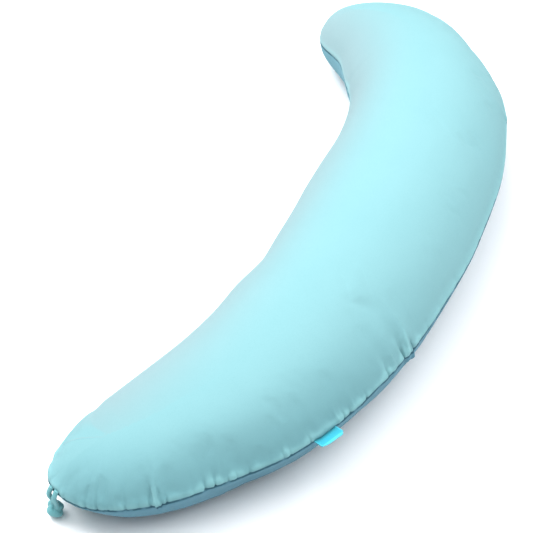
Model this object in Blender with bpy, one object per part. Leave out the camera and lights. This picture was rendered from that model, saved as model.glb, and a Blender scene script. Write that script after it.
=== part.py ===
"""A crescent body pillow: a long filled cushion of two cloth panels, bent round like a banana, lying
on its back. A seam runs round its rim at about half its height, a folded label is caught in the
seam on the outside of the bend, and a short cloth tie hangs from one tip with a knot on its end.

Metres, +Z up. X runs from the tip with the tie to the other tip, and Y points into the hollow of the
bend. The floor is z = 0, and the origin is on it, in the middle of the pillow's footprint.
"""

import math
from collections import namedtuple

import bmesh
import bpy
import numpy as np
from mathutils import Vector
from mathutils.geometry import interpolate_bezier

# The filled body. A share runs along its middle line, from -1 at the tied tip to 1 at the other.
LENGTH = 1.27  # of the middle line, tip to tip
OUTER_HALF = 0.154  # from the middle line to the seam on the outside of the bend
INNER_HALF = 0.121  # and to the seam on its inside
SEAM_HEIGHT = 0.109  # of the seam above the floor, half way along
CROWN = 0.103  # of the upper panel above the seam
BELLY = 0.124  # of the lower panel below the seam, before the floor flattens it
BELLY_POWER = 3.75  # how squarely the belly ends towards the tips
UPPER_ROUND = 1.08  # power of the sine that rounds the upper panel across; 1 is an ellipse
LOWER_ROUND = 1.15  # and the lower panel
REST_BLEND = 0.006  # height over which the belly turns into its flat resting patch
RADIUS_MIDDLE = 1.46  # of the middle line's bend half way along, which tightens to the tips
TURN = math.radians(-2.0)  # heading of the middle line half way along
MIDDLE_X, MIDDLE_Y = 0.007, -0.062  # and its place there, which centres the footprint

# How an end rounds off: two powers for the plan, two for the height, and the share of its height
# that the seam has lost at the tip. bend is the radius of the middle line there.
End = namedtuple("End", "bend plan_power plan_root height_power height_root seam_drop")
TIED_END = End(0.176, 2.20, 0.275, 1.53, 0.54, 0.50)
FREE_END = End(0.156, 2.35, 0.350, 2.10, 0.38, 0.46)

# The seam lies in a shallow valley that the stuffing swells round.
VALLEY_DEPTH, VALLEY_HALF_WIDTH = 0.003, 0.011

# The main gathers, where the cloth is drawn in along the seam. A depth below zero is a raised
# fold. up and down are how far it runs over the upper and the lower panel.
Gather = namedtuple("Gather", "side share half_width depth up down")
OUTSIDE, INSIDE = -1, 1
GATHERS = (
    Gather(OUTSIDE, -0.950, 0.012, 0.003, 0.040, 0.020),
    Gather(OUTSIDE, -0.814, 0.005, -0.004, 0.040, 0.008),
    Gather(OUTSIDE, -0.752, 0.007, 0.003, 0.030, 0.012),
    Gather(OUTSIDE, -0.733, 0.008, 0.005, 0.035, 0.015),
    Gather(OUTSIDE, -0.699, 0.008, 0.003, 0.030, 0.012),
    Gather(OUTSIDE, -0.610, 0.008, 0.003, 0.028, 0.012),
    Gather(OUTSIDE, -0.568, 0.009, 0.004, 0.035, 0.012),
    Gather(OUTSIDE, -0.494, 0.009, 0.004, 0.035, 0.012),
    Gather(OUTSIDE, -0.452, 0.009, 0.003, 0.030, 0.014),
    Gather(OUTSIDE, -0.372, 0.012, 0.006, 0.050, 0.018),
    Gather(OUTSIDE, -0.346, 0.009, -0.003, 0.045, 0.010),
    Gather(OUTSIDE, -0.317, 0.011, 0.007, 0.055, 0.018),
    Gather(OUTSIDE, -0.290, 0.008, -0.005, 0.045, 0.014),
    Gather(OUTSIDE, -0.268, 0.009, 0.004, 0.040, 0.014),
    Gather(OUTSIDE, 0.456, 0.012, -0.003, 0.040, 0.020),
    Gather(INSIDE, -0.930, 0.012, 0.003, 0.035, 0.020),
    Gather(INSIDE, 0.600, 0.014, 0.003, 0.045, 0.020),
)

# Stations along the body, and angles round it: 0 is the outer seam, 90 the crown, 180 the inner
# seam and 270 the belly. They crowd towards the seam, where the valley and the gathers are.
STATIONS = 90
CLOSEST = 0.0035  # between two stations
TIP_CROWDING = 0.55  # share by which the stations crowd towards the tips
HALF_ANGLES = (0, 6, 13, 23, 36, 52, 71, 90, 109, 128, 144, 157, 167, 174)
ANGLES = HALF_ANGLES + tuple(180 + angle for angle in HALF_ANGLES)

# The label: one woven strip folded double, both its ends caught in the seam.
LABEL_FROM, LABEL_TO = -0.562, -0.515  # shares along the seam
LABEL_OUT = 0.020  # it stands this far out of the seam
LABEL_RISE = math.radians(15)
LEAF = 0.0007  # thickness of one leaf of the fold
LEAF_GAP = 0.0004  # between the two leaves
LABEL_STEPS = 8

# The tie: two round strands out of the seam at the tip, and the knot that ends them.
STRAND = 0.0070  # thickness
STRAND_SHARES = {"strand_left": -0.979, "strand_right": -0.969}  # where they leave the seam
STRAND_START = 0.0036  # from the valley's floor out to the middle of their flat ends
STRAND_DIP = math.radians(55)  # of their first heading, below level
STRAND_LEAVES, STRAND_ARRIVES = 0.015, 0.013  # how far the route's two handles reach
STRAND_SPREAD = 0.0080  # between their ends, on the knot
STRAND_POINTS = 12
KNOT_RADII = (0.0122, 0.0130, 0.0115)
KNOT_OUT, KNOT_ALONG = 0.0010, 0.0048  # its place: out of the seam, and on towards the tip
KNOT_TURNS, KNOT_RIDGE = 3, 0.10  # ridges round the knot, and their share of its radius
KNOT_SLANT = 4.0  # turn of the ridges from the knot's foot to its top, in half radians
KNOT_SEGMENTS, KNOT_RINGS = 24, 14

CLEARANCE = 0.0005  # between pieces that touch
AQUA, TEAL, CYAN = (0.38, 0.79, 0.84), (0.15, 0.30, 0.38), (0.17, 0.83, 0.96)


def clear_scene():
    for old in list(bpy.data.objects):
        bpy.data.objects.remove(old, do_unlink=True)


def material(name, colour, roughness):
    made = bpy.data.materials.new(name)
    made.use_nodes = True
    shader = made.node_tree.nodes["Principled BSDF"]
    shader.inputs["Base Color"].default_value = (*colour, 1.0)
    shader.inputs["Roughness"].default_value = roughness
    shader.inputs["Metallic"].default_value = 0.0
    return made


def by_end(share, column):
    """The value of one column of the end table at each share."""
    return np.where(share < 0, getattr(TIED_END, column), getattr(FREE_END, column))


def middle_line(share):
    """Place and heading of the middle line, from its bend added up both ways from half way."""
    fine = np.linspace(-1, 1, 801)
    middle, tied, free = 1 / RADIUS_MIDDLE, 1 / TIED_END.bend, 1 / FREE_END.bend
    bend = middle + (free - tied) / 2 * fine + ((free + tied) / 2 - middle) * fine**2
    step = LENGTH / 2 * (fine[1] - fine[0])

    def added_up(values, start):
        total = np.concatenate([[0], np.cumsum((values[1:] + values[:-1]) / 2 * step)])
        return total - np.interp(0, fine, total) + start

    heading = added_up(bend, TURN)
    x, y = added_up(np.cos(heading), MIDDLE_X), added_up(np.sin(heading), MIDDLE_Y)
    return [np.interp(share, fine, values) for values in (x, y, heading)]


def rested(z):
    """Flattens what would be below the floor, with a soft edge."""
    blend = (z + REST_BLEND) ** 2 / (4 * REST_BLEND)
    return np.where(z > REST_BLEND, z, np.where(z < -REST_BLEND, 0.0, blend))


def skin(share, angle):
    """Points of the smooth filled body, before its seam valley and gathers."""
    share, angle = np.broadcast_arrays(np.asarray(share, float), np.asarray(angle, float))
    x, y, heading = middle_line(share)
    reach = np.abs(share)
    plan = np.maximum(1 - reach ** by_end(share, "plan_power"), 0) ** by_end(share, "plan_root")
    swell = np.maximum(1 - reach ** by_end(share, "height_power"), 0)
    swell = swell ** by_end(share, "height_root")
    seam = SEAM_HEIGHT * (1 - by_end(share, "seam_drop") * reach**3)
    across, rise = -np.cos(angle), np.sin(angle)
    sideways = np.where(across > 0, INNER_HALF, OUTER_HALF) * plan * across
    crown = CROWN * swell * np.abs(rise) ** UPPER_ROUND
    belly = BELLY * np.sqrt(1 - reach**BELLY_POWER) * np.abs(rise) ** LOWER_ROUND
    z = rested(seam + np.where(rise >= 0, crown, -belly))
    return np.stack([x - np.sin(heading) * sideways, y + np.cos(heading) * sideways, z], -1)


def outward(share, angle):
    """The skin's outward direction, from its slopes along and round."""
    small = 1e-3
    along = skin(np.minimum(share + small, 1), angle) - skin(np.maximum(share - small, -1), angle)
    around = skin(share, angle + small) - skin(share, angle - small)
    normal = np.cross(along, around)
    return normal / np.maximum(np.linalg.norm(normal, axis=-1, keepdims=True), 1e-12)


def seam_girth(share, angle):
    """Distance round the section from the nearer seam: positive on the upper panel."""
    fine = np.linspace(0, 2 * math.pi, 361)
    made = skin(share[:, None], fine[None, :])
    steps = np.linalg.norm(np.diff(made, axis=1), axis=2)
    girth = np.concatenate([np.zeros((len(made), 1)), np.cumsum(steps, axis=1)], axis=1)
    half_turn, whole = girth[:, [180]], girth[:, [-1]]
    at = np.array([np.interp(angle, fine, row) for row in girth])
    upper = np.minimum(at, half_turn - at)
    lower = np.minimum(at - half_turn, whole - at)
    return np.where(angle[None, :] <= math.pi, upper, -lower)


def drawn_in(share, angle):
    """How far the skin is pulled in at each point, by the seam's valley and by the gathers."""
    girth = seam_girth(share, angle)
    depth = VALLEY_DEPTH * np.exp(-((girth / VALLEY_HALF_WIDTH) ** 2))
    side = np.where(np.cos(angle) > 0, OUTSIDE, INSIDE)
    for fold in GATHERS:
        along = (share - fold.share) * LENGTH / 2 / fold.half_width
        fade = np.exp(-np.maximum(girth / fold.up, -girth / fold.down) ** 2)
        depth += (side == fold.side) * fold.depth * np.exp(-(along**2))[:, None] * fade
    return depth


def station_shares():
    """Shares of the rings: crowded at the tips, with one on the middle and flanks of each gather."""
    even = -np.cos(np.linspace(0, math.pi, STATIONS + 1)[1:-1])
    even = (1 - TIP_CROWDING) * even + TIP_CROWDING * np.sin(even * math.pi / 2)
    flanks = sorted(
        fold.share + step * fold.half_width / (LENGTH / 2) for fold in GATHERS for step in (-1, 0, 1)
    )
    closest = CLOSEST / (LENGTH / 2)
    kept = []
    for share in flanks:
        if not kept or share - kept[-1] > closest:
            kept.append(share)
    rest = [share for share in even if min(abs(share - k) for k in kept) > closest]
    return np.array(sorted(kept + rest))


def body_rings():
    """The rings of the finished body, from the tied tip to the free one."""
    share, angle = station_shares(), np.radians(ANGLES)
    points = skin(share[:, None], angle[None, :])
    inward = outward(share[:, None], angle[None, :]) * drawn_in(share, angle)[..., None]
    inward[points[..., 2] <= REST_BLEND] = 0.0  # the resting patch stays flat
    points = points - inward
    points[..., 2] = np.maximum(points[..., 2], 0.0)
    return points


def joined_rings(mesh, rings):
    """Quads between neighbouring closed rings of vertices, one ring after the other."""
    faces = []
    for here, there in zip(rings, rings[1:]):
        for k in range(len(here)):
            following = (k + 1) % len(here)
            corners = (here[k], here[following], there[following], there[k])
            faces.append(mesh.faces.new(corners))
    return faces


def finish(mesh, name, looks):
    bmesh.ops.recalc_face_normals(mesh, faces=mesh.faces)
    data = bpy.data.meshes.new(name)
    mesh.to_mesh(data)
    mesh.free()
    data.shade_smooth()
    data.set_sharp_from_angle(angle=math.radians(40))
    made = bpy.data.objects.new(name, data)
    for look in looks:
        made.data.materials.append(look)
    bpy.context.collection.objects.link(made)
    return made


def make_pillow():
    """The filled body: the upper panel takes the first cloth and the lower panel the second."""
    mesh = bmesh.new()
    rings = [[mesh.verts.new(point) for point in ring] for ring in body_rings()]
    faces = joined_rings(mesh, rings)
    for share, ring in ((-1.0, rings[0]), (1.0, rings[-1])):
        tip = mesh.verts.new(skin(share, 0.0))
        for k in range(len(ring)):
            faces.append(mesh.faces.new((ring[k], ring[(k + 1) % len(ring)], tip)))
    for k, face in enumerate(faces):
        face.material_index = 0 if k % len(ANGLES) < len(HALF_ANGLES) else 1
    cloths = [material("aqua_jersey", AQUA, 0.85), material("teal_jersey", TEAL, 0.85)]
    return finish(mesh, "pillow", cloths)


def valley_floor(share):
    """A point in the bottom of the outer seam's valley, and the level direction out of it."""
    at, angle = np.array([share]), np.zeros(1)
    out = outward(at[:, None], angle[None, :])[0, 0]
    point = skin(share, 0.0) - out * drawn_in(at, angle)[0, 0]
    return Vector(point), Vector((out[0], out[1], 0)).normalized()


def label_section():
    """The folded strip seen from its end: (out, up) points, two leaves that meet in a round fold."""
    outer, inner = LEAF + LEAF_GAP / 2, LEAF_GAP / 2
    fold = LABEL_OUT - outer
    turns = [math.radians(degrees) for degrees in range(-90, 91, 30)]
    outside = [(fold + outer * math.cos(turn), outer * math.sin(turn)) for turn in turns]
    inside = [(fold + inner * math.cos(turn), inner * math.sin(turn)) for turn in reversed(turns)]
    return [(0, -outer), *outside, (0, outer), (0, inner), *inside, (0, -inner)]


def make_label():
    mesh = bmesh.new()
    section = label_section()
    rings = []
    for share in np.linspace(LABEL_FROM, LABEL_TO, LABEL_STEPS + 1):
        root, level = valley_floor(share)
        out = level * math.cos(LABEL_RISE) + Vector((0, 0, math.sin(LABEL_RISE)))
        up = Vector((0, 0, math.cos(LABEL_RISE))) - level * math.sin(LABEL_RISE)
        root += level * (CLEARANCE + LEAF)
        rings.append([mesh.verts.new(root + out * a + up * b) for a, b in section])
    joined_rings(mesh, rings)
    for ring in (rings[0], rings[-1]):
        mesh.faces.new(ring)
    bmesh.ops.triangulate(mesh, faces=[face for face in mesh.faces if len(face.verts) > 4])
    return finish(mesh, "label", [material("cyan_ribbon", CYAN, 0.45)])


def knot_middle():
    """The middle of the knot, which rests on the floor, and the direction along the seam there."""
    root, level = valley_floor(sum(STRAND_SHARES.values()) / len(STRAND_SHARES))
    along = Vector((-level.y, level.x, 0))
    middle = root + level * KNOT_OUT - along * KNOT_ALONG
    middle.z = KNOT_RADII[2]
    return middle, along


def strand_route(share, end):
    """Points of a strand on one smooth curve: out of the seam and downwards, then straight down."""
    root, level = valley_floor(share)
    heading = level * math.cos(STRAND_DIP) - Vector((0, 0, math.sin(STRAND_DIP)))
    start = root + level * STRAND_START
    handles = start + heading * STRAND_LEAVES, end + Vector((0, 0, STRAND_ARRIVES))
    return interpolate_bezier(start, *handles, end, STRAND_POINTS)


def make_strands():
    """Two tubes that end side by side on top of the knot."""
    middle, along = knot_middle()
    cord = material("aqua_cord", AQUA, 0.8)
    for (name, share), side in zip(STRAND_SHARES.items(), (-1, 1)):
        end = middle + along * side * STRAND_SPREAD / 2
        end.z = 2 * KNOT_RADII[2] + CLEARANCE
        curve = bpy.data.curves.new(name, "CURVE")
        curve.dimensions = "3D"
        curve.bevel_depth = STRAND / 2
        curve.bevel_resolution = 3
        curve.use_fill_caps = True
        curve.materials.append(cord)
        spline = curve.splines.new("POLY")
        spline.points.add(STRAND_POINTS - 1)
        for point, place in zip(spline.points, strand_route(share, end)):
            point.co = (*place, 1)
        bpy.context.collection.objects.link(bpy.data.objects.new(name, curve))
    return cord


def make_knot(cord):
    """A ball with slanting ridges, flat where it lies."""
    middle, _ = knot_middle()
    mesh = bmesh.new()
    bmesh.ops.create_uvsphere(mesh, u_segments=KNOT_SEGMENTS, v_segments=KNOT_RINGS, radius=1.0)
    for vertex in mesh.verts:
        x, y, z = vertex.co
        ridge = math.cos(KNOT_TURNS * math.atan2(y, x) + KNOT_SLANT * z) * math.hypot(x, y)
        swell = 1 + KNOT_RIDGE * ridge
        vertex.co = [middle[i] + KNOT_RADII[i] * swell * vertex.co[i] for i in range(3)]
        vertex.co.z = max(vertex.co.z, 0.0)
    return finish(mesh, "knot", [cord])


clear_scene()
make_pillow()
make_label()
make_knot(make_strands())
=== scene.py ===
# %% [markdown]
# # A crescent body pillow
#
# This lesson dresses a long filled pillow that is bent into a crescent. The construction is done
# already: the frame holds a plain solid for the pillow, one for the folded label in its seam and one
# for the knotted tie at its tip. Here each of them is replaced by a piece that looks sewn: the
# pillow swells under cloth simulation and gets its seam and its gathers, the label gets its weave,
# and the tie gets its two cords and a real knot.

# %% Load the frame
import math
from collections import namedtuple

import bpy
import numpy as np
from mathutils import Matrix, Vector
from mathutils.bvhtree import BVHTree
from mathutils.geometry import interpolate_bezier
from mathutils.kdtree import KDTree


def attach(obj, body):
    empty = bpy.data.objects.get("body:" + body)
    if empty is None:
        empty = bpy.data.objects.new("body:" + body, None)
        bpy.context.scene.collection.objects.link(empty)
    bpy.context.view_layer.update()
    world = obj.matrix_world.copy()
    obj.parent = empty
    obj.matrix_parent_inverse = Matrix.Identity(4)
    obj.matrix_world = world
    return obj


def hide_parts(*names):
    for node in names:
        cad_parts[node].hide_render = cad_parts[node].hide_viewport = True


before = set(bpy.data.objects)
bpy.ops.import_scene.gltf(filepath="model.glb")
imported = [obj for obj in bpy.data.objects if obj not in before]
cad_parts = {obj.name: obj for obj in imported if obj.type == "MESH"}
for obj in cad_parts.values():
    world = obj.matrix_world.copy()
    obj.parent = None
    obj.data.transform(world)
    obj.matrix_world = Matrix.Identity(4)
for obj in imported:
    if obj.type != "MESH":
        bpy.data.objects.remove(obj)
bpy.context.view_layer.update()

# %% [markdown]
# ## Where the camera stands
#
# The camera looks down at about 45 degrees from the side of the tied tip, from a good distance, so
# the far tip shrinks only a little. Blender's camera looks along its own -Z, so its back vector is
# turned into a rotation with to_track_quat.

# %% Camera
EYE = Vector((-1.681, -0.5644, 1.7583))
LOOKS_AT = Vector((-0.0216, 0.1012, 0.0))
LENS, SENSOR = 108.07, 36.0  # millimetres

camera_data = bpy.data.cameras.new("camera")
camera_data.lens, camera_data.sensor_width = LENS, SENSOR
camera = bpy.data.objects.new("camera", camera_data)
bpy.context.collection.objects.link(camera)
camera.location = EYE
camera.rotation_mode = "QUATERNION"
camera.rotation_quaternion = (LOOKS_AT - EYE).to_track_quat("-Z", "Y")
bpy.context.scene.camera = camera
print("camera", round((EYE - LOOKS_AT).length, 2), "m from what it looks at")

# %% [markdown]
# ## The tie's cords and knot
#
# Two soft round cords come out of the seam at the tip and hang side by side into a knot that lies on
# the floor. Each follows one smooth curve, given by its two ends and a handle at each. The knot is a
# real overhand knot: a fat tube along a trefoil path, fused into one body, so that grooves stay where
# its wraps press on each other.

# %% Strands
CORD = 0.0070  # thickness of a strand
Strand = namedtuple("Strand", "name start leaves arrives end")
STRANDS = (
    Strand(
        "left", (-0.5731, 0.1889, 0.0579), (-0.5801, 0.1939, 0.0456),
        (-0.5694, 0.1901, 0.0365), (-0.5694, 0.1901, 0.0235),
    ),
    Strand(
        "right", (-0.5781, 0.1786, 0.0594), (-0.5859, 0.1822, 0.0471),
        (-0.5733, 0.1832, 0.0365), (-0.5733, 0.1832, 0.0235),
    ),
)
INTO_SEAM, INTO_KNOT = 0.003, 0.008  # how far a strand goes on inside the seam and the knot
STRAND_POINTS = 24


def nothing_selected():
    """An operator acts on all that is selected, so a step starts with nothing selected."""
    bpy.ops.object.select_all(action="DESELECT")


def only(piece):
    nothing_selected()
    piece.select_set(True)
    bpy.context.view_layer.objects.active = piece


def applied(piece, kind, **settings):
    """Adds a modifier with these settings and applies it."""
    only(piece)
    made = piece.modifiers.new(kind.lower(), kind)
    for name, value in settings.items():
        setattr(made, name, value)
    bpy.ops.object.modifier_apply(modifier=made.name)


def cord_along(name, path, thickness, cyclic=False):
    """A round cord along a path of points."""
    curve = bpy.data.curves.new(name, "CURVE")
    curve.dimensions = "3D"
    curve.bevel_depth, curve.bevel_resolution = thickness / 2, 6
    curve.use_fill_caps = not cyclic
    spline = curve.splines.new("POLY")
    spline.points.add(len(path) - 1)
    spline.use_cyclic_u, spline.use_smooth = cyclic, True
    for point, place in zip(spline.points, path):
        point.co = (*place, 1)
    piece = bpy.data.objects.new(name, curve)
    bpy.context.collection.objects.link(piece)
    only(piece)
    bpy.ops.object.convert(target="MESH")
    return bpy.context.object


def strand_path(strand):
    start, leaves, arrives, end = (Vector(point) for point in strand[1:])
    inside = start - (leaves - start).normalized() * INTO_SEAM
    route = interpolate_bezier(start, leaves, arrives, end, STRAND_POINTS)
    return [inside, *route, end - Vector((0, 0, INTO_KNOT))]


paths = {strand.name: strand_path(strand) for strand in STRANDS}
strands = {name: cord_along("strand_" + name, path, CORD) for name, path in paths.items()}
lengths = {name: sum((b - a).length for a, b in zip(path, path[1:])) for name, path in paths.items()}
print("strands of", {name: round(length * 1000, 1) for name, length in lengths.items()}, "mm")

# %% Knot
KNOT_MIDDLE = Vector((-0.5714, 0.1875, 0.0124))
KNOT_TUBE, KNOT_SCALE, KNOT_RISE = 0.0100, 0.0027, 0.0058  # tube thickness, trefoil size and its lift
KNOT_FACES = Vector((0.37, -0.93, 0.10))  # the side of the knot that shows its three lobes
KNOT_ROLL = math.radians(30)
KNOT_POINTS = 72
KNOT_VOXEL = 0.0006

turns = np.linspace(0, 2 * math.pi, KNOT_POINTS + 1)[:-1]
trefoil = np.stack([
    KNOT_SCALE * (np.sin(turns) + 2 * np.sin(2 * turns)),
    KNOT_SCALE * (np.cos(turns) - 2 * np.cos(2 * turns)),
    -KNOT_RISE * np.sin(3 * turns),
], -1)
facing = KNOT_FACES.to_track_quat("Z", "Y").to_matrix() @ Matrix.Rotation(KNOT_ROLL, 3, "Z")
wraps = [KNOT_MIDDLE + facing @ Vector(point) for point in trefoil]
knot = cord_along("knot_wraps", wraps, KNOT_TUBE, cyclic=True)
applied(knot, "REMESH", mode="VOXEL", voxel_size=KNOT_VOXEL, adaptivity=0.0)
applied(knot, "SMOOTH", factor=0.5, iterations=3)
for vertex in knot.data.vertices:
    vertex.co.z = max(vertex.co.z, 0.0)  # it lies flat where it touches the floor
only(knot)
bpy.ops.object.shade_smooth()
print("knot", [round(side * 1000, 1) for side in knot.dimensions], "mm")

for name, strand in strands.items():
    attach(strand, "root")
    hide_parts("strand_" + name)
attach(knot, "root")
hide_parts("knot")

# %% [markdown]
# ## Floor and light
#
# The pillow lies on a white sweep in soft light. A wide lamp behind and to the left lights the crown
# and the far side, so the near side falls into shade with a soft shadow in front of it. Two weaker
# ones, on the right and high over the camera, keep the long side from going flat, and the bright
# world round them keeps the shadows pale. The view has a little more contrast than plain.

# %% Stage
FLOOR_SIDE = 14.0
FLOOR_WHITE = (0.84, 0.84, 0.85, 1.0)
Lamp = namedtuple("Lamp", "name place side power")
LAMPS = (
    Lamp("behind", (0.42, 1.82, 2.75), 3.0, 136.0),
    Lamp("beside", (0.82, -2.04, 2.60), 2.8, 76.0),
    Lamp("above", (-1.25, 0.00, 2.90), 2.4, 42.0),
)
WORLD_WHITE, WORLD_STRENGTH = (0.97, 0.98, 1.0, 1.0), 0.60
EXPOSURE, GAMMA = 0.13, 0.80

nothing_selected()
bpy.ops.mesh.primitive_plane_add(size=FLOOR_SIDE, location=(0, 0, 0))
floor = bpy.context.object
floor.name = "floor"

for spec in LAMPS:
    lamp_data = bpy.data.lights.new(spec.name, "AREA")
    lamp_data.shape, lamp_data.size, lamp_data.energy = "SQUARE", spec.side, spec.power
    lamp = bpy.data.objects.new(spec.name, lamp_data)
    bpy.context.collection.objects.link(lamp)
    lamp.location = spec.place
    lamp.rotation_mode = "QUATERNION"
    lamp.rotation_quaternion = (-lamp.location).to_track_quat("-Z", "Y")

world = bpy.data.worlds.new("world")
bpy.context.scene.world = world
world.use_nodes = True
background = world.node_tree.nodes["Background"]
background.inputs["Color"].default_value = WORLD_WHITE
background.inputs["Strength"].default_value = WORLD_STRENGTH
view = bpy.context.scene.view_settings
view.view_transform, view.exposure, view.gamma = "Standard", EXPOSURE, GAMMA
print("floor", FLOOR_SIDE, "m square, lamps of", [spec.power for spec in LAMPS], "W")

# %% [markdown]
# ## The pillow's own ruler
#
# A crease on a bent pillow is easiest to place along its seam. The solid was made round a middle
# line whose bend tightens towards both tips, and the seam runs at a set distance on each side of it.
# The same few sizes give that line again here, so any point on the cloth can be told by how far
# along the pillow it lies and how far from the seam.

# %% Middle line and seam
LENGTH = 1.27  # of the middle line, tip to tip
OUTER_HALF, INNER_HALF = 0.154, 0.121  # from it to the seam, outside and inside the bend
SEAM_HEIGHT = 0.109
RADIUS_MIDDLE, TURN = 1.46, math.radians(-2.0)
MIDDLE_X, MIDDLE_Y = 0.007, -0.062
End = namedtuple("End", "bend plan_power plan_root seam_drop")
TIED_END, FREE_END = End(0.176, 2.20, 0.275, 0.50), End(0.156, 2.35, 0.350, 0.46)
FINE_SHARES = np.linspace(-1, 1, 801)
SEAM_STEPS = 1201  # along each side of the bend


def by_end(share, column):
    """One column of the end table. A share runs from -1 at the tied tip to 1 at the free one."""
    return np.where(share < 0, getattr(TIED_END, column), getattr(FREE_END, column))


def middle_line(share):
    """Place and heading of the middle line, from its bend added up both ways from half way."""
    fine = FINE_SHARES
    middle, tied, free = 1 / RADIUS_MIDDLE, 1 / TIED_END.bend, 1 / FREE_END.bend
    bend = middle + (free - tied) / 2 * fine + ((free + tied) / 2 - middle) * fine**2
    step = LENGTH / 2 * (fine[1] - fine[0])

    def added_up(values, start):
        total = np.concatenate([[0], np.cumsum((values[1:] + values[:-1]) / 2 * step)])
        return total - np.interp(0, fine, total) + start

    heading = added_up(bend, TURN)
    x, y = added_up(np.cos(heading), MIDDLE_X), added_up(np.sin(heading), MIDDLE_Y)
    return [np.interp(share, fine, values) for values in (x, y, heading)]


def seam_height(share):
    return SEAM_HEIGHT * (1 - by_end(share, "seam_drop") * np.abs(share) ** 3)


def seam_line(side, shares):
    """Points on the floor of the seam's valley. side is -1 outside the bend and 1 inside it."""
    x, y, heading = middle_line(shares)
    plan = np.maximum(1 - np.abs(shares) ** by_end(shares, "plan_power"), 0)
    plan = plan ** by_end(shares, "plan_root")
    sideways = side * (INNER_HALF if side > 0 else OUTER_HALF) * plan
    points = [x - np.sin(heading) * sideways, y + np.cos(heading) * sideways, seam_height(shares)]
    return np.stack(points, -1)


def seam_loop():
    """The seam all round from the tied tip, outside first, with the way out of it at each point."""
    shares = np.sin(np.linspace(-math.pi / 2, math.pi / 2, SEAM_STEPS))
    loop = np.concatenate([seam_line(-1, shares), seam_line(1, shares[::-1])[1:-1]])
    ahead = np.roll(loop, -1, 0) - np.roll(loop, 1, 0)
    outward = np.stack([ahead[:, 1], -ahead[:, 0], 0 * ahead[:, 0]], -1)
    return loop, outward / np.linalg.norm(outward, axis=1, keepdims=True), shares


def run_along(loop):
    """Distance along the loop to each of its points, and its whole length."""
    steps = np.linalg.norm(np.roll(loop, -1, 0) - loop, axis=1)
    return np.concatenate([[0], np.cumsum(steps)[:-1]]), steps.sum()


SEAM_PLAN, SEAM_OUT, SEAM_SHARES = seam_loop()
SEAM_RUN, SEAM_LENGTH = run_along(SEAM_PLAN)
print("the seam is", round(float(SEAM_LENGTH), 3), "m long")

# %% Seam distance of any point


def run_of(side, share):
    """The run along the seam at a share of the pillow's length, outside (-1) or inside (1) the bend."""
    outside = SEAM_RUN[: len(SEAM_SHARES)]
    inside = np.append(SEAM_RUN[len(SEAM_SHARES) - 1 :], SEAM_LENGTH)
    return float(np.interp(share, SEAM_SHARES, outside if side < 0 else inside[::-1]))


def nearest(points, line):
    """For each point, the number of the line's nearest point."""
    tree = KDTree(len(line))
    for number, point in enumerate(line):
        tree.insert(point, number)
    tree.balance()
    return np.array([tree.find(point)[1] for point in points])


def seam_on(piece, reach=0.03):
    """The seam's line dropped on to the cloth from outside, level."""
    tree = BVHTree.FromObject(piece, bpy.context.evaluated_depsgraph_get())
    hits = [
        tree.ray_cast(Vector(plan + reach * out), Vector(-out), 3 * reach)[0]
        for plan, out in zip(SEAM_PLAN, SEAM_OUT)
    ]
    return np.array([plan if hit is None else hit for plan, hit in zip(SEAM_PLAN, hits)])


def seam_place(points, line):
    """Distance from the seam, positive above it, and the run along the seam to the nearest point."""
    near = nearest(points, line)
    ahead = np.roll(line, -1, 0)[near] - line[near]
    length = np.maximum(np.linalg.norm(ahead, axis=1), 1e-6)
    offset = points - line[near]
    past = np.clip((offset * ahead).sum(1) / length, -length, length)
    away = np.sqrt(np.maximum((offset**2).sum(1) - past**2, 0))
    return np.where(offset[:, 2] >= 0, away, -away), SEAM_RUN[near] + past


# %% [markdown]
# ## The filled body
#
# The real pillow is two panels of jersey, sewn together round the rim and stuffed hard enough to
# stand up but soft enough to lie flat. A copy of its solid is rounded so that the smooth cloth still
# passes through the solid's own points, and a body of even voxels is wrapped on to that. Then it is
# shrunk a little, but for the seam, and Blender's Cloth blows it up again. The bottom and the seam
# are held, so the panels swell between them, and a cap keeps them close to the measured outline.

# %% Body
VOXEL = 0.006
SHRINK = 0.0010  # the panels start this much smaller
SEAM_HOLD = 0.012  # but not within about this of the seam
PRESSURE, FRAMES = 8.0, 20
CAP = 0.004  # no point swells further than this
BASE = 0.0015  # below this height the cloth lies on the floor


def coordinates(mesh):
    flat = np.empty(3 * len(mesh.vertices))
    mesh.vertices.foreach_get("co", flat)
    return flat.reshape(-1, 3)


def normals(mesh):
    flat = np.empty(3 * len(mesh.vertices))
    mesh.vertex_normals.foreach_get("vector", flat)
    return flat.reshape(-1, 3)


def move_to(piece, points):
    piece.data.vertices.foreach_set("co", points.ravel())
    piece.data.update()


def copy_of(node, name):
    """A piece of its own from a CAD node's mesh, with its loose triangles merged."""
    piece = bpy.data.objects.new(name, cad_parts[node].data.copy())
    bpy.context.collection.objects.link(piece)
    piece.data.materials.clear()
    only(piece)
    bpy.ops.object.mode_set(mode="EDIT")
    bpy.ops.mesh.select_all(action="SELECT")
    bpy.ops.mesh.remove_doubles(threshold=1e-5)
    bpy.ops.mesh.tris_convert_to_quads()
    bpy.ops.object.mode_set(mode="OBJECT")
    return piece


def rounded(piece, rounds=4):
    """Subdivides, with the points first moved out so that the smooth mesh passes where they were."""
    wanted = coordinates(piece.data)
    cage = wanted.copy()
    piece.modifiers.new("round", "SUBSURF").levels = 1
    for _ in range(rounds):
        made = piece.evaluated_get(bpy.context.evaluated_depsgraph_get()).data
        cage += wanted - coordinates(made)[: len(wanted)]
        move_to(piece, cage)
    piece.modifiers.clear()
    applied(piece, "SUBSURF", levels=2, render_levels=2)


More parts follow.
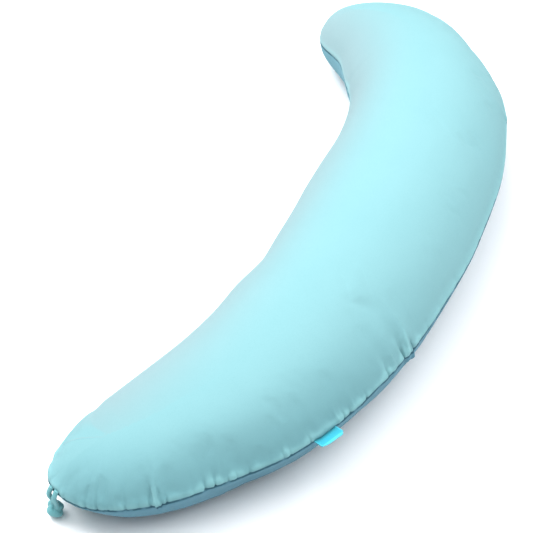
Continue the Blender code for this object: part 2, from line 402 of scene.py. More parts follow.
guide = copy_of("pillow", "guide")
rounded(guide)
only(guide)
bpy.ops.object.duplicate()
body = bpy.context.object
body.name = "pillow_body"
applied(body, "REMESH", mode="VOXEL", voxel_size=VOXEL, adaptivity=0.0)
applied(body, "SMOOTH", factor=0.5, iterations=2)
applied(body, "SHRINKWRAP", target=guide, wrap_method="NEAREST_SURFACEPOINT")
bpy.data.objects.remove(guide, do_unlink=True)

points = coordinates(body.data)
seam, _ = seam_place(points, seam_on(body))
shrunk = SHRINK * (1 - np.exp(-((seam / SEAM_HOLD) ** 2))) * (points[:, 2] > BASE)
move_to(body, points - normals(body.data) * shrunk[:, None])
print("body of", len(points), "points")

# %% Swell
HOLD_WIDTH = 0.004  # of the cloth that the seam holds


def swell(piece, held):
    """Blows the closed piece up under cloth pressure, with the held points in place."""
    group = piece.vertex_groups.new(name="held")
    for weight in (0.5, 1.0):
        group.add(np.nonzero(held == weight)[0].tolist(), weight, "REPLACE")
    cloth = piece.modifiers.new("cloth", "CLOTH")
    settings = cloth.settings
    settings.quality = 5
    settings.mass = 0.3
    settings.tension_stiffness = settings.compression_stiffness = 15
    settings.bending_stiffness = 0.5
    settings.use_pressure = True
    settings.uniform_pressure_force = PRESSURE
    settings.effector_weights.gravity = 0
    settings.vertex_group_mass = "held"
    cloth.collision_settings.use_collision = False
    for frame_number in range(1, FRAMES + 1):
        bpy.context.scene.frame_set(frame_number)
    only(piece)
    bpy.ops.object.modifier_apply(modifier="cloth")
    bpy.context.scene.frame_set(1)
    piece.vertex_groups.clear()


start = coordinates(body.data)
held = np.where(np.abs(seam) < HOLD_WIDTH, 0.5, 0.0)
held[start[:, 2] < BASE] = 1.0
swell(body, held)
moved = coordinates(body.data) - start
far = np.linalg.norm(moved, axis=1, keepdims=True)
move_to(body, start + moved * np.minimum(1, CAP / np.maximum(far, 1e-9)))
print("swelled by", round(float(np.median(far)) * 1000, 1), "mm, capped at", CAP * 1000)
applied(body, "SUBSURF", levels=1, render_levels=1)

# %% [markdown]
# ## Seam and gathers
#
# Where two panels are sewn together the thread pulls the cloth into a sharp crease, and the stuffing
# swells the upper panel out over it. Where that panel was longer than the lower one it was eased in,
# so it lies in small gathers that are deepest at the lip of the seam and fade out up the side. Each
# gather is a soft trough or ridge, placed one by one along the seam. The mesh is subdivided once more
# there, so that these small forms come out clean.

# %% Gathers
Gather = namedtuple("Gather", "side share half_width depth up down")
OUTSIDE, INSIDE = -1, 1
GATHERS = (
    Gather(OUTSIDE, -0.936, 0.0030, 0.0008, 0.030, 0.008),
    Gather(OUTSIDE, -0.920, 0.0026, 0.0014, 0.042, 0.008),
    Gather(OUTSIDE, -0.911, 0.0024, 0.0008, 0.035, 0.008),
    Gather(OUTSIDE, -0.904, 0.0026, 0.0015, 0.046, 0.008),
    Gather(OUTSIDE, -0.892, 0.0024, 0.0012, 0.036, 0.008),
    Gather(OUTSIDE, -0.878, 0.0024, -0.0007, 0.030, 0.008),
    Gather(OUTSIDE, -0.864, 0.0026, 0.0014, 0.034, 0.008),
    Gather(OUTSIDE, -0.845, 0.0026, 0.0007, 0.026, 0.008),
    Gather(OUTSIDE, -0.826, 0.0024, 0.0014, 0.026, 0.010),
    Gather(OUTSIDE, -0.804, 0.0022, 0.0008, 0.020, 0.010),
    Gather(OUTSIDE, -0.765, 0.0030, 0.0007, 0.022, 0.010),
    Gather(OUTSIDE, -0.740, 0.0028, -0.0009, 0.018, 0.008),
    Gather(OUTSIDE, -0.722, 0.0030, -0.0016, 0.020, 0.008),
    Gather(OUTSIDE, -0.703, 0.0024, -0.0006, 0.016, 0.008),
    Gather(OUTSIDE, -0.688, 0.0024, -0.0009, 0.014, 0.008),
    Gather(OUTSIDE, -0.678, 0.0030, 0.0009, 0.018, 0.010),
    Gather(OUTSIDE, -0.640, 0.0035, 0.0006, 0.018, 0.010),
    Gather(OUTSIDE, -0.613, 0.0024, -0.0016, 0.014, 0.008),
    Gather(OUTSIDE, -0.538, 0.0180, -0.0026, 0.022, 0.004),
    Gather(OUTSIDE, -0.507, 0.0026, -0.0018, 0.022, 0.006),
    Gather(OUTSIDE, -0.468, 0.0030, -0.0014, 0.022, 0.012),
    Gather(OUTSIDE, -0.444, 0.0035, 0.0010, 0.024, 0.012),
    Gather(OUTSIDE, -0.350, 0.0040, -0.0020, 0.030, 0.010),
    Gather(OUTSIDE, -0.302, 0.0040, -0.0058, 0.034, 0.012),
    Gather(OUTSIDE, -0.291, 0.0030, -0.0062, 0.005, 0.022),
    Gather(OUTSIDE, -0.229, 0.0060, 0.0010, 0.026, 0.014),
    Gather(OUTSIDE, -0.140, 0.0080, 0.0008, 0.028, 0.014),
)
# One stiff pleat stands up from the seam. It leans back by this much for each metre of its height.
PLEAT = Gather(OUTSIDE, -0.8166, 0.0038, -0.0048, 0.033, 0.014)
PLEAT_LEAN = 0.2
PLEAT_MIDDLE = 0.65  # how high it stands along its middle, as a share of its edges
PLEAT_END = 3  # half widths from its middle, past which nothing of it is left
# The solid's own main gathers are broad. These rows, which repeat them, take most of that away, and
# all but a little of it within LIP of the seam.
FILLED = (
    Gather(OUTSIDE, -0.814, 0.005, -0.004, 0.040, 0.008),
    Gather(OUTSIDE, -0.752, 0.007, 0.003, 0.030, 0.012),
    Gather(OUTSIDE, -0.733, 0.008, 0.005, 0.035, 0.015),
    Gather(OUTSIDE, -0.699, 0.008, 0.003, 0.030, 0.012),
    Gather(OUTSIDE, -0.610, 0.008, 0.003, 0.028, 0.012),
    Gather(OUTSIDE, -0.568, 0.009, 0.004, 0.035, 0.012),
    Gather(OUTSIDE, -0.494, 0.009, 0.004, 0.035, 0.012),
    Gather(OUTSIDE, -0.452, 0.009, 0.003, 0.030, 0.014),
    Gather(OUTSIDE, -0.372, 0.012, 0.006, 0.050, 0.018),
    Gather(OUTSIDE, -0.346, 0.009, -0.003, 0.045, 0.010),
    Gather(OUTSIDE, -0.317, 0.011, 0.007, 0.055, 0.018),
    Gather(OUTSIDE, -0.290, 0.008, -0.005, 0.045, 0.014),
    Gather(OUTSIDE, -0.268, 0.009, 0.004, 0.040, 0.014),
    Gather(INSIDE, 0.600, 0.014, 0.003, 0.045, 0.020),
)
FILLED_ABOVE, FILLED_AT_LIP, LIP = 0.50, 0.35, 0.006  # shares of a gather's depth, and where
LOST_AT_LIP = 0.6  # of the depth of this script's own gathers
# Small folds round the tied tip, placed by their run along the seam from it, outside the bend.
Scallop = namedtuple("Scallop", "run half_width depth up down")
SCALLOPS = (
    Scallop(0.009, 0.0035, -0.0008, 0.016, 0.010),
    Scallop(0.023, 0.0065, 0.0024, 0.016, 0.012),
    Scallop(0.045, 0.0070, -0.0010, 0.020, 0.010),
    Scallop(0.062, 0.0040, 0.0018, 0.018, 0.010),
    Scallop(0.086, 0.0030, 0.0010, 0.016, 0.010),
)
# Where the thread bites: short sharp nicks in the lip, outside the bend.
Nick = namedtuple("Nick", "share half_width depth up")
NICKS = (
    Nick(-0.957, 0.0018, 0.0012, 0.008),
    Nick(-0.922, 0.0017, 0.0014, 0.010),
    Nick(-0.904, 0.0017, 0.0016, 0.012),
    Nick(-0.888, 0.0017, 0.0012, 0.009),
    Nick(-0.863, 0.0018, 0.0015, 0.010),
    Nick(-0.828, 0.0019, 0.0020, 0.012),
    Nick(-0.805, 0.0018, 0.0018, 0.011),
    Nick(-0.747, 0.0022, 0.0026, 0.014),
    Nick(-0.731, 0.0022, 0.0032, 0.016),
    Nick(-0.711, 0.0016, 0.0013, 0.009),
    Nick(-0.697, 0.0016, 0.0014, 0.009),
    Nick(-0.676, 0.0018, 0.0014, 0.009),
    Nick(-0.619, 0.0018, 0.0016, 0.010),
    Nick(-0.606, 0.0018, 0.0014, 0.009),
    Nick(-0.568, 0.0020, 0.0020, 0.012),
    Nick(-0.493, 0.0022, 0.0026, 0.014),
    Nick(-0.478, 0.0020, 0.0020, 0.012),
    Nick(-0.435, 0.0022, 0.0022, 0.014),
    Nick(-0.369, 0.0026, 0.0034, 0.018),
    Nick(-0.3165, 0.0028, 0.0058, 0.026),
    Nick(-0.2865, 0.0026, 0.0050, 0.022),
    Nick(-0.226, 0.0020, 0.0012, 0.010),
    Nick(0.448, 0.0030, 0.0016, 0.016),
)
CREASE_DEPTH, CREASE_HALF_WIDTH = 0.0012, 0.0018  # the sharp crease where the thread pulls
VALLEY_FILL, VALLEY_HALF_WIDTH = 0.0028, 0.011  # of the solid's shallow valley
PUFF_AT, PUFF_HALF_WIDTH = 0.0055, 0.0050  # how the upper panel swells out over the seam
# Each table from here on has a row for a place on the seam: its run along it, and the measure there.
PUFFS = (
    (-0.10, 0.0006), (0.00, 0.0007), (0.07, 0.0010), (0.12, 0.0011), (0.22, 0.0009),
    (0.32, 0.0008), (0.90, 0.0008), (1.15, 0.0005), (1.70, 0.0008), (2.70, 0.0006),
)
# Near the tied tip the upper panel is tucked this much further down over the solid's seam line. Inside
# the bend, on the way to the free tip, the lower panel reaches further up instead.
TUCKS = (
    (0.080, 0), (0.095, 0.008), (0.125, 0.0085), (0.150, 0.0075), (0.190, 0.0045),
    (0.240, 0.0015), (0.290, 0), (1.740, 0), (1.800, -0.005), (1.900, -0.005),
    (1.960, 0),
)
WAVY_FROM, WAVY_TO, WAVY_FADE = 0.08, 1.05, 0.0125  # the stretch of the seam where the lip is uneven
Wave = namedtuple("Wave", "length share turn")
PUFF_WAVES = (
    Wave(0.031, 0.30, 1.3), Wave(0.019, 0.22, 4.0),
    Wave(0.047, 0.25, 2.2), Wave(0.0123, 0.12, 0.4),
)
# How far the outline lies outside the solid's, given where the two differ.
OUTLINE = (
    (0.000, -0.0020), (0.008, 0), (0.19, 0), (0.23, -0.0025), (0.27, -0.0035),
    (0.31, -0.0062), (0.36, -0.0065), (0.40, -0.0025), (0.44, 0), (0.70, 0),
    (0.76, -0.0015), (0.81, -0.0015), (0.88, 0), (0.94, -0.0018), (1.00, -0.0010),
    (1.06, 0.0010), (1.20, 0.0015), (1.26, 0.0045), (1.31, 0.0030), (1.36, -0.0005),
    (1.40, -0.0015), (1.44, 0.0050), (1.48, 0.0078), (1.55, 0.0115), (1.60, 0.0075),
    (1.66, 0.0065), (1.71, 0.0075), (1.76, 0.0020), (1.90, 0), (1.94, 0.0042),
    (1.98, 0.0015), (2.02, -0.0055), (2.06, -0.0048), (2.11, -0.0025), (2.16, 0.0005),
    (2.22, 0.0068), (2.28, 0.0088), (2.34, 0.0052), (2.40, 0.0028), (2.46, -0.0038),
    (2.51, 0.0058), (2.57, 0.0022), (2.63, 0.0035), (2.68, 0.0055), (2.72, 0.0046),
    (2.76, 0.0012), (2.80, -0.0030), (2.84, -0.0055), (2.855, -0.0050), (2.863, -0.0020),
)
OUTLINE_REACH, TIP_REACH = 0.062, 0.036  # from the seam, and less of it round the tied tip
TIP_TO, TIP_FROM = 0.06, 0.12  # runs from that tip between which the reach grows
OUTLINE_STEP, OUTLINE_BLEND = 0.010, 0.014  # between the places that are blended, and their spread
LEAST_WEIGHT = 1e-300  # so that a point far from every place still has a share of each
# Where the lower panel lies further in than the solid's, below the seam.
LOWER_IN = (
    (0.13, 0), (0.18, -0.0025), (0.22, -0.0010), (0.26, 0.0015), (0.31, 0.0050),
    (0.36, 0.0088), (0.40, 0.0065), (0.45, 0.0045), (0.56, 0.0042), (0.62, 0),
)
LOWER_FADE = 0.015  # it comes in over this much of the panel
FINE_REACH = 0.013  # of the finer mesh, each side of the seam
NARROW, DEEP, ON_FOLD = 0.0045, 0.0010, 0.05  # gathers that need it too, and how far along them


def read_off(table, run):
    """The measure at each run along the seam, straight between the table's rows."""
    runs, measures = zip(*table)
    return np.interp(run, runs, measures)


def centre_of(fold):
    """A fold's place along the seam, from its run or from its share of the pillow's length."""
    return fold.run if hasattr(fold, "run") else run_of(fold.side, fold.share)


def bump_along(run, centre, half_width):
    """1 on the centre, and fading to nothing each way along the seam."""
    ahead = (run - centre + SEAM_LENGTH / 2) % SEAM_LENGTH - SEAM_LENGTH / 2
    return np.exp(-((ahead / half_width) ** 2))


def faded(seam, fold):
    """1 at the seam, and fading to nothing as far as the fold runs over each panel."""
    return np.exp(-np.maximum(seam / fold.up, -seam / fold.down) ** 2)


def drawn_in(run, seam):
    """How far the seam, the stuffing and the gathers move each point inwards."""
    near_seam = np.exp(-((seam / LIP) ** 2))
    first_run = PUFFS[0][0]
    level = (run - first_run) % SEAM_LENGTH + first_run
    before = np.exp((WAVY_FROM - level) / WAVY_FADE)
    after = np.exp((level - WAVY_TO) / WAVY_FADE)
    waves = sum(wave.share * np.sin(2 * math.pi * run / wave.length + wave.turn) for wave in PUFF_WAVES)
    puff = read_off(PUFFS, level) * (1 + waves / (1 + before) / (1 + after))
    depth = CREASE_DEPTH * np.exp(-((seam / CREASE_HALF_WIDTH) ** 2))
    depth -= puff * np.exp(-(((seam - PUFF_AT) / PUFF_HALF_WIDTH) ** 2)) * (seam > 0)
    depth -= VALLEY_FILL * np.exp(-((seam / VALLEY_HALF_WIDTH) ** 2))
    for nick in NICKS:
        fade = np.exp(-((seam / nick.up) ** 2)) * (seam > 0)
        depth += nick.depth * bump_along(run, run_of(OUTSIDE, nick.share), nick.half_width) * fade
    for fold in (*GATHERS, *SCALLOPS):
        shape = bump_along(run, centre_of(fold), fold.half_width) * faded(seam, fold)
        depth += fold.depth * shape * (1 - LOST_AT_LIP * near_seam)
    for fold in FILLED:
        shape = bump_along(run, centre_of(fold), fold.half_width) * faded(seam, fold)
        depth -= fold.depth * shape * (FILLED_ABOVE + FILLED_AT_LIP * near_seam)
    ahead = run - centre_of(PLEAT) + PLEAT_LEAN * seam
    height = np.maximum(seam / PLEAT.up, -seam / PLEAT.down)
    over = np.clip(ahead / PLEAT.half_width, -PLEAT_END, PLEAT_END)
    raised = PLEAT_MIDDLE + (1 - PLEAT_MIDDLE) * over**2
    return depth + PLEAT.depth * raised * np.exp(-(over**6) - height**4)


def outline_push(points, line, run, seam):
    """The outline's correction at each point, blended from places all along the seam."""
    total, moved = np.zeros(len(points)), np.zeros((len(points), 3))
    for place in np.arange(0, SEAM_LENGTH, OUTLINE_STEP):
        number = int(np.argmin(np.abs(SEAM_RUN - place)))
        distance = ((points - line[number]) ** 2).sum(1)
        weight = np.exp(-distance / (2 * OUTLINE_BLEND**2)) + LEAST_WEIGHT
        total += weight
        moved += weight[:, None] * SEAM_OUT[number] * read_off(OUTLINE, SEAM_RUN[number])
    from_tip = np.minimum(run % SEAM_LENGTH, SEAM_LENGTH - run % SEAM_LENGTH)
    reach = np.interp(from_tip, (TIP_TO, TIP_FROM), (TIP_REACH, OUTLINE_REACH))
    return moved * (np.exp(-((seam / reach) ** 4)) / total)[:, None]


def sharp_folds(run, seam):
    """True on the narrow gathers, which need the finer mesh too."""
    found = np.zeros(len(run), bool)
    for fold in (*GATHERS, PLEAT):
        if fold.half_width < NARROW and abs(fold.depth) > DEEP:
            near = bump_along(run, centre_of(fold), fold.half_width) > ON_FOLD
            found |= near & (seam > 0) & (seam < fold.up)
    return found


def subdivided_where(piece, wanted):
    """Subdivides the faces whose corners are all wanted points."""
    only(piece)
    chosen = [all(wanted[v] for v in polygon.vertices) for polygon in piece.data.polygons]
    bpy.ops.object.mode_set(mode="EDIT")
    bpy.ops.mesh.select_mode(type="FACE")
    bpy.ops.mesh.select_all(action="DESELECT")
    bpy.ops.object.mode_set(mode="OBJECT")
    piece.data.polygons.foreach_set("select", chosen)
    bpy.ops.object.mode_set(mode="EDIT")
    bpy.ops.mesh.subdivide(number_cuts=1)
    bpy.ops.object.mode_set(mode="OBJECT")


line = seam_on(body)
seam, run = seam_place(coordinates(body.data), line)
subdivided_where(body, (np.abs(seam) < FINE_REACH) | sharp_folds(run, seam))
points = coordinates(body.data)
seam, run = seam_place(points, line)
seam = seam + read_off(TUCKS, run)
depth = drawn_in(run, seam)
depth[points[:, 2] < BASE] = 0
print("pulled in by up to", round(float(depth.max()) * 1000, 1), "mm")

# %% Drag lines
# Long faint troughs on the upper panel, where the cloth is pulled between the gathers and the crown.
Drag = namedtuple("Drag", "start end half_width depth")
DRAGS = (
    Drag((-0.245, -0.125), (-0.170, -0.060), 0.006, 0.0008),
    Drag((-0.215, -0.140), (-0.150, -0.085), 0.005, 0.0006),
    Drag((0.150, -0.130), (0.210, -0.060), 0.008, 0.0006),
)
upper = seam > 0
for drag in DRAGS:
    first, last = np.array(drag.start), np.array(drag.end)
    whole = last - first
    at = np.clip(((points[:, :2] - first) @ whole) / (whole @ whole), 0, 1)
    away = np.linalg.norm(points[:, :2] - first - at[:, None] * whole, axis=1)
    depth += upper * drag.depth * np.exp(-((away / drag.half_width) ** 2)) * np.sin(math.pi * at)
points = points - normals(body.data) * depth[:, None]
pushed = outline_push(points, line, run, seam)
below = 1 - np.exp(-((np.minimum(seam, 0) / LOWER_FADE) ** 2))
lower_in = read_off(LOWER_IN, run) * below
points += pushed - SEAM_OUT[nearest(points, line)] * lower_in[:, None]
points[:, 2] = np.where(points[:, 2] < BASE, 0, points[:, 2])
move_to(body, points)
print("fine body of", len(points), "points")

# %% Store the ruler on the cloth
ROUND_RADIUS = 0.13  # of the pillow's section, for measuring round it


def store(piece, name, values):
    layer = piece.data.attributes.new(name, "FLOAT_VECTOR", "POINT")
    layer.data.foreach_set("vector", np.stack(values, -1).astype(np.float32).ravel())


x, y, heading = middle_line(FINE_SHARES)
near = nearest(points * [1, 1, 0], np.stack([x, y, 0 * x], -1))
east, north = points[:, 0] - x[near], points[:, 1] - y[near]
past = east * np.cos(heading[near]) + north * np.sin(heading[near])
across = north * np.cos(heading[near]) - east * np.sin(heading[near])
share = FINE_SHARES[near]
turn = np.arctan2(points[:, 2] - seam_height(share), -across)
store(body, "cloth_place", [share * LENGTH / 2 + past, turn * ROUND_RADIUS, seam])
store(body, "seam_place", [run, seam, depth])
only(body)
bpy.ops.object.shade_smooth()
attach(body, "root")
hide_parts("pillow")
print("the body has", sum(len(p.vertices) - 2 for p in body.data.polygons), "triangles")

# %% [markdown]
# ## Shader maths
#
# Every finish below is worked out from the surface itself. The small class wraps a socket, so that
# ordinary Python arithmetic on it adds Math nodes, and a Finish adds any other node with one call.

# %% Node helpers


class Value:
    """A number that changes over a surface. Arithmetic on it adds Math nodes."""

    def __init__(self, finish, socket):
        self.finish, self.socket = finish, socket

    def maths(self, operation, first, second=0.0):
        return self.finish.add("ShaderNodeMath", {"operation": operation}, {0: first, 1: second})

    def __add__(self, other):
        return self.maths("ADD", self, other)

    def __sub__(self, other):
        return self.maths("SUBTRACT", self, other)

    def __rsub__(self, other):
        return self.maths("SUBTRACT", other, self)

    def __mul__(self, other):
        return self.maths("MULTIPLY", self, other)

    def __abs__(self):
        return self.maths("ABSOLUTE", self)

    def sine(self):
        return self.maths("SINE", self)

    def or_more(self, other):
        return self.maths("MAXIMUM", self, other)


class Finish:
    """A material in the making, on one Principled shader with fixed values on its own sockets."""

    def __init__(self, name, **fixed):
        self.material = bpy.data.materials.new(name)
        self.material.use_nodes = True
        self.tree = self.material.node_tree
        self.shader = self.tree.nodes["Principled BSDF"]
        for socket, value in fixed.items():
            self.shader.inputs[socket.replace("_", " ")].default_value = value

    def join(self, socket, value):
        if isinstance(value, Value):
            self.tree.links.new(value.socket, socket)
        else:
            socket.default_value = value

    def add(self, kind, settings, sockets, output=0):
        node = self.tree.nodes.new(kind)
        for name, value in settings.items():
            setattr(node, name, value)
        for socket, value in sockets.items():
            self.join(node.inputs[socket], value)
        return Value(self, node.outputs[output])

    def feed(self, socket, value):
        self.join(self.shader.inputs[socket], value)

    def spread(self, value, low, high):
        """0 where value is below low, 1 above high, and smooth between. low may be the higher one."""
        settings = {"interpolation_type": "SMOOTHSTEP", "clamp": True}
        return self.add("ShaderNodeMapRange", settings, {0: value, 1: low, 2: high, 3: 0.0, 4: 1.0})

    def noise(self, place, scale, detail=2.0):
        return self.add("ShaderNodeTexNoise", {}, {"Vector": place, "Scale": scale, "Detail": detail})

    def mixed(self, factor, first, second):
        settings = {"data_type": "RGBA"}
        return self.add("ShaderNodeMix", settings, {0: factor, 6: first, 7: second}, 2)

    def parts(self, vector):
        node = self.add("ShaderNodeSeparateXYZ", {}, {0: vector}).socket.node
        return [Value(self, node.outputs[k]) for k in range(3)]

    def attribute(self, name):
        return self.add("ShaderNodeAttribute", {"attribute_name": name}, {}, 1)

    def place(self):
        return self.add("ShaderNodeTexCoord", {}, {}, 3)

    def bump(self, height, distance, strength):
        sockets = {"Strength": strength, "Distance": distance, "Height": height}
        return self.add("ShaderNodeBump", {}, sockets)


# %% Floor paint
white = Finish("white_sweep", Base_Color=FLOOR_WHITE, Roughness=0.9, Specular_IOR_Level=0.0)
floor.data.materials.append(white.material)
print("floor painted", FLOOR_WHITE[:3])

# %% Jersey
AQUA, AQUA_DEEP = (0.232, 0.400, 0.422, 1.0), (0.217, 0.385, 0.408, 1.0)
RIM_SHADE, RIM_SHADE_WIDTH = (0.120, 0.262, 0.292, 1.0), 0.12  # painted shade, darker towards the seam
RIM_SHADE_SHARE, RIM_SHADE_MORE = 0.08, 0.48  # of the painted shade, and what the tied end has besides
RIM_SHADE_RUNS = (0.01, 0.14), (0.80, 0.45)  # between which that comes in, and over which it goes again
TEAL, TEAL_DEEP = (0.138, 0.272, 0.332, 1.0), (0.122, 0.246, 0.306, 1.0)
TIP_SHADE_BOUNCE, TIP_SHADE_BOUNCE_RUNS = (0.115, 0.265, 0.300, 1.0), (0.09, 0.15)  # the lower panel by the tied tip, painted darker and greener for its shade and the aqua light thrown on it by the upper panel
INNER_SHEEN_SHADE, INNER_LOW_LIT = (0.262, 0.348, 0.366, 1.0), (0.165, 0.322, 0.374, 1.0)  # panels inside the bend, painted: a greyer, darker tone for the sheen and shade on the upper panel, and a brighter lit tone on the lower
INNER_RUNS, INNER_SHEEN_BAND, INNER_SHEEN_SHARE = ((1.66, 1.80), (2.86, 2.74)), (0.15, 0.03), 0.8
# Painted shade in the creases and a painted highlight on the ridges, set by how far the cloth is drawn in
# there. The dark tone also colours the yarn's specks.
CREASE_SHADE_AND_SPECK, RIDGE_HIGHLIGHT = (0.070, 0.190, 0.215, 1.0), (0.270, 0.480, 0.500, 1.0)
CREASE_SHADE_DEPTHS, RIDGE_HIGHLIGHT_DEPTHS, FOLD_PAINT_SHARE = (0.0008, 0.0040), (-0.0012, -0.0040), 0.5
MOTTLE, MOTTLE_DETAIL = 9.0, 3.0  # slow changes of tone
HEATHER, HEATHER_LEVELS, HEATHER_SHARE = 900.0, (0.45, 0.85), 0.12  # the yarn's own fine specks
# The seam's thread, with painted shade under the lip.
THREAD_AND_LIP_SHADE = (0.030, 0.090, 0.120, 1.0)
STITCHES, STITCH_DETAIL, STITCH_LEVELS, STITCH_SHARE = 70.0, 4.0, (0.25, 0.55), 0.8  # how it comes and goes
PANEL_EDGE = 0.0004  # over which one cloth gives way to the other
WALE, COURSE = 0.0011, 0.0009  # the knit's columns and rows
KNIT_COLUMNS, KNIT_ROWS = 0.7, 0.3  # their shares of its height
KNIT_HEIGHT, KNIT_STRENGTH = 0.00012, 0.6
SEAM_AT, SEAM_CORE, SEAM_WIDTH = -0.0009, 0.0008, 0.0022  # the dark line just under the lip: the thread, widened with painted shade from the lip over it

jersey = Finish(
    "aqua_jersey", Roughness=0.88, Sheen_Weight=0.05, Sheen_Roughness=0.5, Specular_IOR_Level=0.15,
)
along, around, away = jersey.parts(jersey.attribute("cloth_place"))
run_here, _, fold_depth = jersey.parts(jersey.attribute("seam_place"))


def on_stretch(comes, goes):
    """1 on a stretch of the seam, with smooth ends."""
    return jersey.spread(run_here, *comes) * jersey.spread(run_here, *goes)


mottle = jersey.noise(jersey.place(), MOTTLE, MOTTLE_DETAIL)
upper = jersey.mixed(mottle, AQUA, AQUA_DEEP)
# Painted shade: the upper panel darkens towards the seam, most at the tied end.
rim_shade_share = on_stretch(*RIM_SHADE_RUNS) * RIM_SHADE_MORE + RIM_SHADE_SHARE
upper = jersey.mixed(jersey.spread(away, RIM_SHADE_WIDTH, 0.0) * rim_shade_share, upper, RIM_SHADE)
inside = on_stretch(*INNER_RUNS)
# Painted sheen and shade on the upper panel inside the bend, and painted light on the lower panel there.
upper = jersey.mixed(jersey.spread(away, *INNER_SHEEN_BAND) * inside * INNER_SHEEN_SHARE, upper, INNER_SHEEN_SHADE)
lower = jersey.mixed(inside, jersey.mixed(mottle, TEAL, TEAL_DEEP), INNER_LOW_LIT)
# Painted shade and reflected aqua light on the lower panel by the tied tip.
lower = jersey.mixed(jersey.spread(run_here, *TIP_SHADE_BOUNCE_RUNS), TIP_SHADE_BOUNCE, lower)
print("panels of", len(jersey.tree.nodes), "nodes")

# %% Painted fold shade and highlights, yarn, and thread with painted lip shade
panel = jersey.spread(away, -PANEL_EDGE, PANEL_EDGE)
cloth = jersey.mixed(panel, lower, upper)
# Painted shade in the creases and painted highlight on the ridges.
cloth = jersey.mixed(jersey.spread(fold_depth, *CREASE_SHADE_DEPTHS) * panel * FOLD_PAINT_SHARE, cloth, CREASE_SHADE_AND_SPECK)
cloth = jersey.mixed(jersey.spread(fold_depth, *RIDGE_HIGHLIGHT_DEPTHS) * panel * FOLD_PAINT_SHARE, cloth, RIDGE_HIGHLIGHT)
heather = jersey.noise(jersey.place(), HEATHER)
cloth = jersey.mixed(jersey.spread(heather, *HEATHER_LEVELS) * HEATHER_SHARE, cloth, CREASE_SHADE_AND_SPECK)
stitches = jersey.spread(jersey.noise(jersey.place(), STITCHES, STITCH_DETAIL), *STITCH_LEVELS)
# The thread's line sits a little below the lip and is widened there as painted shade.
in_seam = 1 - jersey.spread(abs(away - SEAM_AT), SEAM_CORE, SEAM_WIDTH)
jersey.feed("Base Color", jersey.mixed(in_seam * stitches * STITCH_SHARE, cloth, THREAD_AND_LIP_SHADE))
columns = abs((along * (math.pi / WALE)).sine())
rows = (around * (2 * math.pi / COURSE)).sine()
knit = columns * KNIT_COLUMNS + rows * KNIT_ROWS
jersey.feed("Normal", jersey.bump(knit, KNIT_HEIGHT, KNIT_STRENGTH))
body.data.materials.append(jersey.material)
print("jersey with", len(jersey.tree.nodes), "nodes")

# %% [markdown]
# ## The label
#
# The label is a short ribbon, folded double, with both its ends caught in the seam. It is too thin
# for a remesh, so its solid is taken as it is, with a finer mesh. Its two outer corners are rounded,
# its free edge sags a little in a soft wave, and its finish has the fine cross ribs of a ribbon.

# %% Label
LABEL_MIDDLE, LABEL_HALF, LABEL_OUT = -0.5385, 0.0194, 0.020  # its share along the seam and its size
CORNER = 0.0030  # how round its corners are
SAG, WAVE, WAVE_LENGTH, WAVE_TURN = 0.0010, 0.0005, 0.028, 1.0
SHARP_EDGE = math.radians(40)

label = copy_of("label", "label_ribbon")
applied(label, "SUBSURF", levels=2, render_levels=2, subdivision_type="SIMPLE")
points = coordinates(label.data)
root = nearest(points * [1, 1, 0], SEAM_PLAN * [1, 1, 0])
along_edge = SEAM_RUN[root] - run_of(OUTSIDE, LABEL_MIDDLE)
reach = ((points - SEAM_PLAN[root]) * SEAM_OUT[root]).sum(1)
reach -= reach.min()
# The corners: what lies past a corner's round is drawn back on to it.
over_side = np.maximum(np.abs(along_edge) - (LABEL_HALF - CORNER), 0)
over_edge = np.maximum(reach - (LABEL_OUT - CORNER), 0)
past = np.maximum(np.hypot(over_side, over_edge), 1e-9)
cut = np.maximum(1 - CORNER / past, 0) * (over_side > 0) * (over_edge > 0)
out = SEAM_OUT[root]
ahead = np.stack([-out[:, 1], out[:, 0], 0 * reach], -1)
points -= out * (cut * over_edge)[:, None]
points -= ahead * (np.sign(along_edge) * cut * over_side)[:, None]
lift = WAVE * np.sin(2 * math.pi * along_edge / WAVE_LENGTH + WAVE_TURN) - SAG
points[:, 2] += lift * np.clip(reach / LABEL_OUT, 0, 1) ** 2
move_to(label, points)
store(label, "ribbon_place", [along_edge, reach, 0 * reach])
only(label)
bpy.ops.object.shade_smooth_by_angle(angle=SHARP_EDGE)
print("label of", len(points), "points")
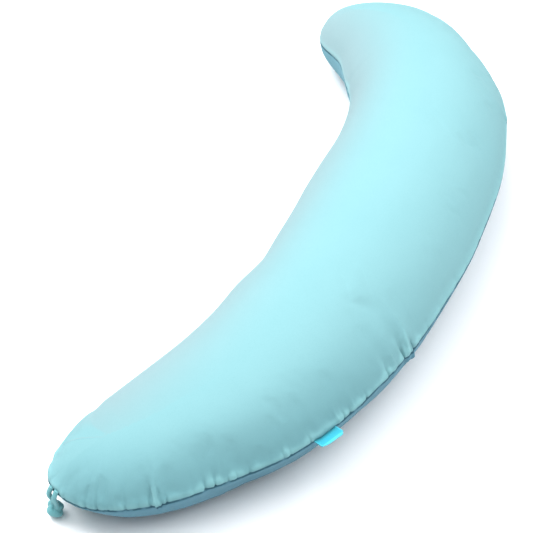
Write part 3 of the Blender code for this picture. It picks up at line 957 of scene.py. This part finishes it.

# %% Ribbon
# The ribbon's cyan, a darker copy painted as shade at its root, and a pale tone for its selvedge and for
# the painted highlight on its fold.
CYAN, CYAN_ROOT_SHADE, CYAN_EDGE_AND_HIGHLIGHT = (0.045, 0.38, 0.48, 1.0), (0.045, 0.28, 0.34, 1.0), (0.12, 0.55, 0.64, 1.0)
RIB, WARP = 0.0007, 0.0005  # between the cross ribs, and between the threads along it
RIB_SHARE, WARP_SHARE = 0.7, 0.3  # of the weave's height
RIB_HEIGHT, RIB_STRENGTH = 0.00010, 0.7
ROOT_SHADE_FADE = (0.004, 0.013)  # out from the seam, over which the painted shade at the root, under the overhanging panel, gives way to the ribbon's full colour
SELVEDGE, FOLD_HIGHLIGHT = (0.0018, 0.0012), (0.0022, 0.0008)  # pale bands: the selvedge in from the sides, and a painted highlight in from the free edge where the fold catches the light
SELVEDGE_SHARE, FOLD_HIGHLIGHT_SHARE = 0.5, 0.7
ribbon = Finish("cyan_ribbon", Roughness=0.5, Specular_IOR_Level=0.35, Sheen_Weight=0.1)
along, out, _ = ribbon.parts(ribbon.attribute("ribbon_place"))
# Painted shade at the root, where the upper panel overhangs the ribbon.
weave = ribbon.mixed(ribbon.spread(out, *ROOT_SHADE_FADE), CYAN_ROOT_SHADE, CYAN)
selvedge = ribbon.spread(abs(along), *(LABEL_HALF - band for band in SELVEDGE))
# Painted highlight along the free edge, where the fold catches the light.
fold_highlight = ribbon.spread(out, *(LABEL_OUT - band for band in FOLD_HIGHLIGHT))
pale = (selvedge * SELVEDGE_SHARE).or_more(fold_highlight * FOLD_HIGHLIGHT_SHARE)
ribbon.feed("Base Color", ribbon.mixed(pale, weave, CYAN_EDGE_AND_HIGHLIGHT))
ribs = (out * (2 * math.pi / RIB)).sine() * RIB_SHARE
threads = (along * (2 * math.pi / WARP)).sine() * WARP_SHARE
ribbon.feed("Normal", ribbon.bump(ribs + threads, RIB_HEIGHT, RIB_STRENGTH))
label.data.materials.append(ribbon.material)
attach(label, "root")
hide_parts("label")
print("label", [round(side * 1000, 1) for side in label.dimensions], "mm")

# %% Cord finish
CORD_AQUA, CORD_DEEP = (0.205, 0.430, 0.450, 1.0), (0.170, 0.380, 0.405, 1.0)
# Painted shade in the grooves of the cord's weave, where its bump is lowest.
CORD_GROOVE_SHADE, GROOVE_SHADE_LEVELS, GROOVE_SHADE_SHARE = (0.070, 0.190, 0.215, 1.0), (0.45, 0.10), 0.5
PLAIT = 0.0016  # the crossing ribs of the cord's weave
PLAIT_HEIGHT, PLAIT_STRENGTH = 0.00015, 0.7
CORD_MOTTLE = 120.0

cord = Finish("aqua_cord", Roughness=0.85, Sheen_Weight=0.25, Sheen_Roughness=0.5, Specular_IOR_Level=0.2)
x, y, z = cord.parts(cord.place())
rising = ((x + y + z) * (2 * math.pi / PLAIT)).sine()
falling = ((x + y - z) * (2 * math.pi / PLAIT)).sine()
weave = abs(rising) * 0.5 + abs(falling) * 0.5
tone = cord.mixed(cord.noise(cord.place(), CORD_MOTTLE), CORD_AQUA, CORD_DEEP)
# Painted shade in the plait's grooves.
grooves = cord.spread(weave, *GROOVE_SHADE_LEVELS) * GROOVE_SHADE_SHARE
cord.feed("Base Color", cord.mixed(grooves, tone, CORD_GROOVE_SHADE))
cord.feed("Normal", cord.bump(weave, PLAIT_HEIGHT, PLAIT_STRENGTH))
for piece in (*strands.values(), knot):
    piece.data.materials.append(cord.material)
print("cord finish on", len(strands) + 1, "pieces")

# %% Last update
bpy.context.view_layer.update()
